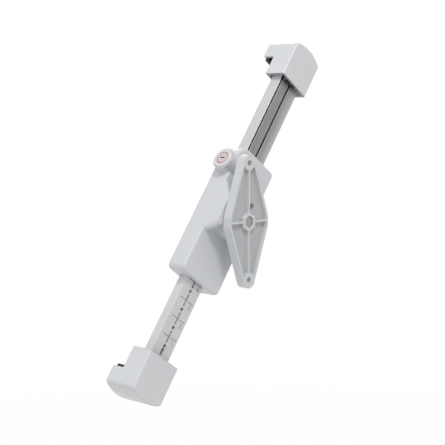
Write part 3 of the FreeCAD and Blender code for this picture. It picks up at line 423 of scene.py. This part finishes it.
def greased_plastic(name, colour, shade_colour):
    """Moulded plastic with painted shade along the arm's middle, above where the housing ends."""
    material = moulded_plastic(name, colour, grain=0.5)
    tree, shader, skin_colour = skin_of(material)
    place = arm_point(tree)
    from_middle = math_node(tree, "ABSOLUTE", place.outputs["Y"])
    narrow = steps(tree, from_middle, SLOT_SHADE_HALF_WIDTH - 0.2, SLOT_SHADE_HALF_WIDTH, 1.0, 0.0)
    inside = steps(tree, place.outputs["X"], SLOT_SHADE_FROM, SLOT_SHADE_FROM + 1.0)
    # A stripe of painted shade where the channel's slot shows the bar
    stripe = math_node(tree, "MULTIPLY", narrow, inside)
    tree.links.new(blend_colour(tree, stripe, skin_colour, shade_colour), shader.inputs["Base Color"])
    return material


bar_plastic = greased_plastic("bar_plastic", BAR_GREY, SLOT_SHADE)
print("made", bar_plastic.name)

# %% [markdown]
# The upper arm is an extruded channel. Its sides are coated as light as the plastic. Over the free
# half of its back a painted highlight in the coat's colour fades towards the slot, and the rest of the
# back is bare metal with the long lines of the die. The narrow groove beside the lock has painted
# shade. Masks from the arm's frame say where a point is. Widths are in millimetres, counted from the
# arm's middle or from the channel's side.

# %% Masks of the channel
side_face = arm_box("upper_arm")[1].y / MM
back_face = arm_box("upper_arm")[0].z / MM
GROOVE_START = 0.5 - side_face
GROOVE_END = 1.7 - side_face
SLOT_EDGE = 0.9
# How strong the painted highlight on the back is at the side
SHEEN_ON_BACK = 0.72


def coat_mask(tree, sideways, streak):
    """One on both sides, and a painted highlight on the free half of the back, less towards the slot."""
    out = math_node(tree, "ABSOLUTE", sideways)
    flank = steps(tree, out, side_face - 0.12, side_face - 0.04)
    # Painted highlight on the free half of the back, fading towards the slot
    back_sheen = steps(tree, sideways, SLOT_EDGE, side_face)
    uneven = math_node(tree, "POWER", back_sheen, steps(tree, streak, 0.0, 1.0, 1.2, 1.9))
    return math_node(tree, "MAXIMUM", flank, math_node(tree, "MULTIPLY", uneven, SHEEN_ON_BACK))


def groove_mask(tree, sideways, depth):
    """One in the groove beside the lock, below the plane of the back."""
    near = steps(tree, sideways, GROOVE_START - 0.1, GROOVE_START)
    far = steps(tree, sideways, GROOVE_END, GROOVE_END + 0.1, 1.0, 0.0)
    sunk = steps(tree, depth, back_face + 0.1, back_face + 0.3)
    return math_node(tree, "MULTIPLY", math_node(tree, "MULTIPLY", near, far), sunk)


print("the channel is", round(2 * side_face, 1), "mm wide")

# %% [markdown]
# The bare metal has more than its lines: broad cloudy patches from handling, and a painted highlight
# beside the groove and beside the slot. One material mixes the colours and the metalness by the masks,
# and the lines give its roughness.

# %% Finish: extruded channel
BARE_METAL = (0.31, 0.31, 0.312)
# The colour of the painted shade in the groove beside the lock
COAT = (0.625, 0.635, 0.655)
GROOVE_SHADE = (0.035, 0.035, 0.038)
CLOUDS_TO_MM = (0.035, 0.12, 0.12)
# How strong the painted highlight beside the groove and the slot is
EDGE_HIGHLIGHT = 0.22


def bare_channel(tree, millimetres, sideways, streak):
    """The colour of the uncoated back."""
    metal = blend_colour(tree, streak, darker(BARE_METAL, 0.80), lighter(BARE_METAL, 0.10))
    spread = vector_math(tree, "MULTIPLY", millimetres, CLOUDS_TO_MM).outputs[0]
    clouds = add(tree, "ShaderNodeTexNoise", Vector=spread, Scale=1.0, Detail=2.0)
    cloudy = steps(tree, clouds.outputs["Fac"], 0.3, 0.7)
    shade = blend_colour(tree, cloudy, (0.84,) * 3, (1.0,) * 3)
    metal = blend_colour(tree, 1.0, metal, shade, mode="MULTIPLY")
    # A painted highlight on the bare metal beside the groove and beside the slot
    for edge in (GROOVE_END, SLOT_EDGE):
        near = steps(tree, sideways, edge, edge + 0.15)
        far = steps(tree, sideways, edge + 0.7, edge + 1.5, EDGE_HIGHLIGHT, 0.0)
        metal = blend_colour(tree, math_node(tree, "MULTIPLY", near, far), metal, COAT)
    return metal


def channel_metal(name):
    """Bare drawn metal with coated sides, a painted highlight on the back and painted shade in the
    groove.
    """
    material, tree, shader = new_material(name, IOR=1.5)
    millimetres = place_group(tree, arm_group).outputs["Millimetres"]
    point = add(tree, "ShaderNodeSeparateXYZ", Vector=millimetres)
    sideways = point.outputs["Y"]
    edges = place_group(tree, edge_group, Radius=0.25 * MM)
    drawn = place_group(tree, drawn_group, Vector=millimetres, Depth=0.35, Gloss_low=0.34,
                        Gloss_high=0.5, Normal=edges.outputs["Normal"])
    streak = steps(tree, drawn.outputs["Tone"], 0.25, 0.75)
    # The coat on the sides, and a painted highlight in its colour over the free half of the back
    coat_and_sheen = coat_mask(tree, sideways, streak)
    coated = blend_colour(tree, coat_and_sheen, bare_channel(tree, millimetres, sideways, streak), COAT)
    # Painted shade in the groove beside the lock
    groove_shade = groove_mask(tree, sideways, point.outputs["Z"])
    colour = blend_colour(tree, groove_shade, coated, GROOVE_SHADE)
    cover(tree, shader, colour, drawn.outputs["Roughness"], drawn.outputs["Normal"])
    tree.links.new(math_node(tree, "SUBTRACT", 1.0, coat_and_sheen), shader.inputs["Metallic"])
    return material


channel_finish = channel_metal("channel_metal")
print("made", channel_finish.name)

# %% [markdown]
# Screws, washers and the spring are zinc plated steel: bright, slightly mottled by the plating, with
# turned lines. The lock's barrel and plug are plain nickel.

# %% Finish: plated steel
ZINC = (0.285, 0.29, 0.295)
NICKEL = (0.56, 0.545, 0.52)
CRYSTALS_TO_METRE = 1400.0
TURNED_LINES = (900.0, 40.0, 900.0)


def plated_steel(name, colour, gloss):
    """Plated metal with fine turned lines. Gloss is the roughness at its shiniest."""
    material, tree, shader = new_material(name, Metallic=1.0)
    place = add(tree, "ShaderNodeTexCoord").outputs["Object"]
    crystals = add(tree, "ShaderNodeTexVoronoi", Vector=place, Scale=CRYSTALS_TO_METRE)
    edges = place_group(tree, edge_group, Radius=0.12 * MM)
    turned = place_group(tree, drawn_group, Vector=place, Stretch=TURNED_LINES, Depth=0.2,
                         Gloss_low=gloss, Gloss_high=gloss + 0.14, Normal=edges.outputs["Normal"])
    tone = steps(tree, crystals.outputs["Distance"], 0.0, 0.8)
    plated = blend_colour(tree, tone, colour, lighter(colour, 0.18))
    cover(tree, shader, plated, turned.outputs["Roughness"], turned.outputs["Normal"])
    return material


zinc = plated_steel("zinc_plated_steel", ZINC, 0.36)
nickel = plated_steel("nickel_plated_steel", NICKEL, 0.22)
print("made", zinc.name, "and", nickel.name)

# %% [markdown]
# Rubber is dark and dull, with a bloom of fine dust that is palest on its edges. The friction ring is
# a slippery engineering plastic, close in colour but smoother. Ink is dull too and has no dust, so all
# of them come from one function. The band on the lock is a red enamel, as smooth as the cap.

# %% Finish: dark mouldings, inks and enamel
RUBBER_BLACK = (0.030, 0.030, 0.033)
SLIPPERY_GREY = (0.11, 0.11, 0.12)
TICK_INK = (0.22, 0.225, 0.235)
NUMBER_INK = (0.33, 0.335, 0.34)
ENAMEL_RED = (0.55, 0.035, 0.06)


def dark_moulding(name, colour, dusty, roughness, grain):
    """A dull dark surface. Dusty is how much its edges have gone pale."""
    material, tree, shader = new_material(name, Specular_IOR_Level=0.3)
    edges = place_group(tree, edge_group, Radius=0.3 * MM)
    skin = place_group(tree, skin_group, Colour=colour, Patch=lighter(colour, 0.03),
                       Grain_size=grain, Grain_depth=0.5, Gloss_low=roughness,
                       Gloss_high=roughness + 0.15, Normal=edges.outputs["Normal"])
    bloom = math_node(tree, "MULTIPLY", edges.outputs["Edge"], dusty)
    dusted = blend_colour(tree, bloom, skin.outputs["Colour"], lighter(colour, 0.25))
    cover(tree, shader, dusted, skin.outputs["Roughness"], skin.outputs["Normal"])
    return material


rubber = dark_moulding("black_rubber", RUBBER_BLACK, 0.5, 0.65, 0.6)
slippery = dark_moulding("friction_plastic", SLIPPERY_GREY, 0.2, 0.35, 0.4)
tick_ink = dark_moulding("scale_ink", TICK_INK, 0.0, 0.55, 0.25)
number_ink = dark_moulding("faint_ink", NUMBER_INK, 0.0, 0.55, 0.25)
enamel = moulded_plastic("red_enamel", ENAMEL_RED, grain=0.25, edge_radius=0.1)
print("made", ", ".join(finish.name for finish in (rubber, slippery, tick_ink, number_ink, enamel)))

# %% [markdown]
# ## Dressing the solids
#
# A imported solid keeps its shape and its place, and only gets a finish, through its own material slots.

# %% Give each solid its finish
FINISHES = {
    plate_plastic: ["wall_plate"],
    housing_plastic: ["rear_shell", "front_cover"],
    upper_plastic: ["upper_clamp"],
    lower_plastic: ["lower_clamp"],
    bar_plastic: ["lower_arm"],
    cap_plastic: ["lock_cap"],
    channel_finish: ["upper_arm"],
    zinc: ["hub_bolt", "hub_washer", "disc_spring", "hub_nut", "cover_screws", "stop_screw",
           "upper_clamp_screws", "lower_clamp_screws", "lock_bolt"],
    nickel: ["lock_barrel", "key_plug"],
    rubber: ["tablet_pads", "upper_liner", "lower_liner"],
    slippery: ["friction_ring"],
    enamel: ["lock_ring"],
}
for finish, names in FINISHES.items():
    for name in names:
        for slot in frame["nodes"][name].material_slots:
            slot.material = finish
dressed = [name for names in FINISHES.values() for name in names]
bare = sorted(set(frame["nodes"]) - set(dressed))
print("dressed:", len(dressed), "left bare:", bare)

# %% [markdown]
# ## The printed scale
#
# The bar has a row of holes and slots along its middle. Each slot carries a tick on both sides and a
# number, so that both ends of a pair of mounts can be set alike. The ink is a film a few hundredths of
# a millimetre thick, so it can slide in under the channel. All places are in the arm's frame.

# %% Sizes of the scale
INK = 0.06 * MM
SUNK = 0.01 * MM
PITCH = 15.0 * MM
FIRST_TICK = -99.2 * MM
TICKS = 8
bar_back = arm_box("lower_arm")[0].z
print("the bar's back is", round(bar_back / MM, 2), "mm from the wall")


# %% A piece made in the arm's frame
def put_in_scene(name, data):
    """An object of this name and data, shown in the scene."""
    item = bpy.data.objects.new(name, data)
    bpy.context.scene.collection.objects.link(item)
    return item


def finish_piece(mesh, name, material, body):
    """Writes a bmesh in the arm's frame to an object in the room's frame, and lets it ride."""
    mesh.transform(arm_frame)
    bmesh.ops.recalc_face_normals(mesh, faces=mesh.faces)
    data = bpy.data.meshes.new(name)
    mesh.to_mesh(data)
    mesh.free()
    data.materials.append(material)
    piece = put_in_scene(name, data)
    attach(piece, body)
    print(name, "has", len(data.polygons), "faces and rides on", body)


# %% [markdown]
# A tick is a thin block. One cube, stretched and moved by a matrix, makes each of them, and all of
# them go into one mesh.

# %% Ticks
TICK_WIDTH = 0.5 * MM
TICK_REACHES = ((-6.5 * MM, -1.2 * MM), (1.9 * MM, 8.3 * MM))


def add_block(mesh, low, high):
    """A block between two corners, in the arm's frame."""
    middle = (low + high) / 2
    reach = high - low
    place = Matrix.Translation(middle) @ Matrix.Diagonal((*reach, 1.0))
    bmesh.ops.create_cube(mesh, size=1.0, matrix=place)


marks = bmesh.new()
for number in range(TICKS):
    along = FIRST_TICK + number * PITCH
    for start, end in TICK_REACHES:
        add_block(marks, Vector((along - TICK_WIDTH / 2, start, bar_back - INK)),
                  Vector((along + TICK_WIDTH / 2, end, bar_back + SUNK)))
finish_piece(marks, "scale_ticks", tick_ink, "sliding_arm")

# %% [markdown]
# The numbers start as text, which becomes a mesh with the thickness of the ink, before it is moved to
# its place. Each stands with its foot towards the lower clamp.

# %% Numbers
DIGIT_TALL = 5.0 * MM
DIGIT_BELOW_TICK = 3.6 * MM
DIGIT_ACROSS = 5.6 * MM
# The text's own axes are right, up and towards the reader: across, up the arm and to the wall
UPRIGHT = Matrix(((0, 1, 0), (1, 0, 0), (0, 0, -1))).to_4x4()


def add_digit(mesh, digit, along, sideways):
    """One number as a thin solid on the bar's back."""
    curve = bpy.data.curves.new("digit", "FONT")
    curve.body = str(digit)
    curve.size = DIGIT_TALL
    curve.align_x = "CENTER"
    curve.align_y = "CENTER"
    curve.resolution_u = 3
    curve.extrude = (INK + SUNK) / 2
    holder = bpy.data.objects.new("digit", curve)
    flat = bpy.data.meshes.new_from_object(holder)
    place = Matrix.Translation(Vector((along, sideways, bar_back - (INK - SUNK) / 2)))
    flat.transform(place @ UPRIGHT)
    mesh.from_mesh(flat)
    bpy.data.objects.remove(holder)
    bpy.data.curves.remove(curve)
    bpy.data.meshes.remove(flat)


numbers = bmesh.new()
for number in range(TICKS):
    add_digit(numbers, number + 1, FIRST_TICK + number * PITCH - DIGIT_BELOW_TICK, DIGIT_ACROSS)
bmesh.ops.remove_doubles(numbers, verts=numbers.verts, dist=0.001 * MM)
finish_piece(numbers, "scale_numbers", number_ink, "sliding_arm")

# %% [markdown]
# ## Camera
#
# The camera stands where the photograph was taken: behind the mount, a little above it and to one
# side, with a long lens. Its place and its axes were worked out from the photograph's perspective.

# %% Place the camera
CAMERA_AT = (0.6183, 0.5670, 0.0788)
LENS = 92.95
SENSOR = 36.0
camera_data = bpy.data.cameras.new("camera")
camera_data.sensor_width = SENSOR
camera_data.lens = LENS
camera = put_in_scene("camera", camera_data)
right = Vector((-0.6933, 0.7206, 0.0040)).normalized()
ahead = Vector((-0.7177, -0.6900, -0.0941))
ahead = (ahead - ahead.dot(right) * right).normalized()
up = right.cross(ahead)
turn = Matrix((right, up, -ahead)).transposed().to_4x4()
camera.matrix_world = Matrix.Translation(CAMERA_AT) @ turn
bpy.context.scene.camera = camera
print("lens", LENS, "mm")


# %% [markdown]
# ## Floor, lamps and world
#
# The mount hangs in front of white, as in a catalogue. The white is seen only by camera, glossy and
# transmission rays, so it doesn't light the object. Near the mount the floor keeps a tenth of its
# plain paper, so that a shadow can still fall on it.

# %% What sees the white
def seen_directly(tree):
    """One for camera, glossy and transmission rays, and nothing for the rest."""
    rays = add(tree, "ShaderNodeLightPath")
    some = math_node(tree, "MAXIMUM", rays.outputs["Is Camera Ray"], rays.outputs["Is Glossy Ray"])
    return math_node(tree, "MAXIMUM", some, rays.outputs["Is Transmission Ray"])


# %% Floor
FLOOR_LOW = -0.30
FLOOR_SIZE = 6.0
PAPER = (0.8, 0.8, 0.8)
WHITE = (1.0, 1.0, 1.0)
floor_mesh = bmesh.new()
bmesh.ops.create_grid(floor_mesh, x_segments=1, y_segments=1, size=FLOOR_SIZE,
                      matrix=Matrix.Translation((0, 0, FLOOR_LOW)))
floor_data = bpy.data.meshes.new("floor")
floor_mesh.to_mesh(floor_data)
floor_mesh.free()
floor = put_in_scene("floor", floor_data)

floor_finish = bpy.data.materials.new("floor_white")
floor_finish.use_nodes = True
tree = floor_finish.node_tree
tree.nodes.clear()
paper = add(tree, "ShaderNodeBsdfDiffuse", Color=PAPER)
glow = add(tree, "ShaderNodeEmission", Color=WHITE, Strength=1.0)
place = add(tree, "ShaderNodeTexCoord").outputs["Object"]
from_mount = vector_math(tree, "LENGTH", place).outputs["Value"]
fade = steps(tree, from_mount, 0.35, 0.9, 0.9, 1.0)
mixed = add(tree, "ShaderNodeMixShader")
feed(tree, math_node(tree, "MULTIPLY", seen_directly(tree), fade), mixed.inputs[0])
tree.links.new(paper.outputs[0], mixed.inputs[1])
tree.links.new(glow.outputs[0], mixed.inputs[2])
add(tree, "ShaderNodeOutputMaterial", Surface=mixed.outputs[0])
floor_data.materials.append(floor_finish)
print("floor at", FLOOR_LOW)

# %% [markdown]
# Three soft square lamps light the mount: a large weak one over its side, a small one high behind it,
# whose shadows show the plate's ribs, and a large one in front of it. Each line gives the way towards
# the lamp, its distance and width in metres, its power in watts and its colour. Together with the sky
# they make a level at which a colour renders about as it is written.

# %% Lamps
LAMPS = {
    "side_lamp": ((0.80, 0.10, 0.60), 1.4, 1.0, 3.0, (0.97, 0.98, 1.0)),
    "back_lamp": ((0.35, 0.60, 1.00), 1.5, 0.22, 7.8, (1.0, 0.995, 0.985)),
    "front_lamp": ((-0.60, -1.0, 0.50), 1.5, 1.0, 4.0, (1.0, 1.0, 1.0)),
}
for name, (towards, distance, width, power, colour) in LAMPS.items():
    data = bpy.data.lights.new(name, "AREA")
    data.size = width
    data.energy = power
    data.color = colour
    direction = Vector(towards).normalized()
    turn = direction.to_track_quat("Z", "Y").to_matrix().to_4x4()
    put_in_scene(name, data).matrix_world = Matrix.Translation(direction * distance) @ turn
print("lamps:", ", ".join(LAMPS))

# %% [markdown]
# The sky is plain and even. Rays that show the background see it at a strength of one, which is white,
# and the object is lit by a little more than half of that.

# %% World
SKY_LEVEL = 0.57
world = bpy.data.worlds.new("plain_sky")
bpy.context.scene.world = world
world.use_nodes = True
tree = world.node_tree
tree.nodes.clear()
sky_strength = steps(tree, seen_directly(tree), 0.0, 1.0, SKY_LEVEL, 1.0)
sky = add(tree, "ShaderNodeBackground", Color=WHITE, Strength=sky_strength)
add(tree, "ShaderNodeOutputWorld", Surface=sky.outputs[0])
bpy.context.scene.view_settings.view_transform = "Standard"
print("sky level", SKY_LEVEL)

# %% [markdown]

# %% Finish
print("dressed and lit")
